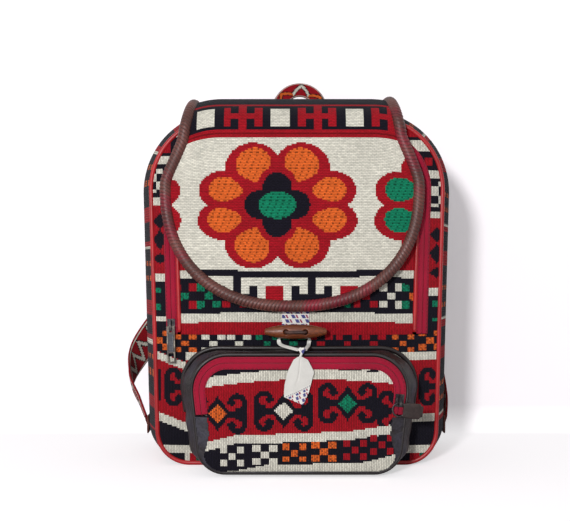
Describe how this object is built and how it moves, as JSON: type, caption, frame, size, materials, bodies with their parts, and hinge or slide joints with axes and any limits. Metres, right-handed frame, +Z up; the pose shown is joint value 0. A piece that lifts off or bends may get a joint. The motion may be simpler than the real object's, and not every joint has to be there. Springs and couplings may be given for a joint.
{
  "type": "backpack",
  "caption": "Woven wool backpack with a leather-bound front flap and toggle, arched zip door, zipped front pocket, grab handle and shoulder straps",
  "frame": {"origin": "on the floor, under the middle of the base", "axes": "the front faces -Y, +X is to the right of a viewer who looks along +Y, +Z is up"},
  "size_m": [0.3615, 0.2252, 0.4124],
  "materials": {
    "wool": "woven wool, patterned red, cream and navy",
    "navy_wool": "plain dark cloth",
    "flap_wool": "woven wool, patterned cream, red, orange and navy",
    "strap_wool": "woven band, red and cream",
    "cotton": "white cotton",
    "zip_tape": "woven crimson tape",
    "zip_coil": "crimson nylon coil",
    "red_vinyl": "smooth red vinyl piping",
    "board": "stiff board",
    "brown_leather": "brown leather lace and patches",
    "dark_leather": "nearly black leather",
    "toggle_wood": "turned, varnished",
    "metal": "dark plated zinc"
  },
  "bodies": {
    "bag": {"body_gusset": "wool", "front_border": "wool", "front_lower_panel": "wool", "door_panel": "wool", "back_panel": "navy_wool", "base_board": "board", "front_piping": "red_vinyl", "back_piping": "red_vinyl", "door_piping": "red_vinyl", "main_zip_outer_tape": "zip_tape", "main_zip_coil": "zip_coil", "main_zip_inner_tape": "zip_tape", "flap_panel": "flap_wool", "flap_lining": "navy_wool", "flap_binding": "brown_leather", "flap_seam_strip": "navy_wool", "ribbon_loop": "cotton", "tag_string": "cotton", "string_knot": "cotton", "tag_tie": "cotton", "hang_tag": "cotton", "pocket_gusset": "dark_leather", "pocket_panel": "wool", "pocket_piping": "dark_leather", "pocket_welt": "dark_leather", "pocket_zip_outer_tape": "zip_tape", "pocket_zip_coil": "zip_coil", "pocket_zip_inner_tape": "zip_tape", "top_handle": "strap_wool", "strap_patch": "brown_leather", "left_shoulder_strap": "strap_wool", "left_strap_tab": "dark_leather", "right_shoulder_strap": "strap_wool", "right_strap_tab": "dark_leather"},
    "main_slider": {"main_zip_slider": "metal"},
    "main_pull": {"main_zip_pull": "metal"},
    "pocket_slider": {"pocket_zip_slider": "metal"},
    "pocket_pull": {"pocket_pull_ring": "metal", "pocket_pull_tab": "brown_leather"},
    "toggle_body": {"toggle": "toggle_wood", "toggle_lace": "dark_leather"},
    "left_adjuster": {"left_strap_adjuster": "metal"},
    "right_adjuster": {"right_strap_adjuster": "metal"}
  },
  "joints": [
    {"name": "main_zip_slide", "type": "slide", "parent": "bag", "child": "main_slider", "axis": [-0.0268, -0.0002, 0.9996], "range_m": [0, 0.03]},
    {"name": "main_pull_swing", "type": "hinge", "parent": "main_slider", "child": "main_pull", "pos_m": [-0.1264, -0.07476, 0.14038], "axis": [-0.9713, 0.2364, -0.026], "range_deg": [0, 100]},
    {"name": "pocket_zip_slide", "type": "slide", "parent": "bag", "child": "pocket_slider", "axis": [0.1188, 0.0232, 0.9926], "range_m": [-0.008, 0]},
    {"name": "pocket_pull_swing", "type": "hinge", "parent": "pocket_slider", "child": "pocket_pull", "pos_m": [0.09683, -0.12266, 0.07193], "axis": [-0.98, -0.158, 0.121], "range_deg": [0, 90]},
    {"name": "toggle_turn", "type": "hinge", "parent": "bag", "child": "toggle_body", "pos_m": [-0.0015, -0.09056, 0.137], "axis": [0, 1, 0], "range_deg": [-15, 15]},
    {"name": "left_adjuster_slide", "type": "slide", "parent": "bag", "child": "left_adjuster", "axis": [-0.5191, 0.0944, -0.8495], "range_m": [-0.008, 0.008]},
    {"name": "right_adjuster_slide", "type": "slide", "parent": "bag", "child": "right_adjuster", "axis": [0.5191, 0.0944, -0.8495], "range_m": [-0.008, 0.008]}
  ]
}
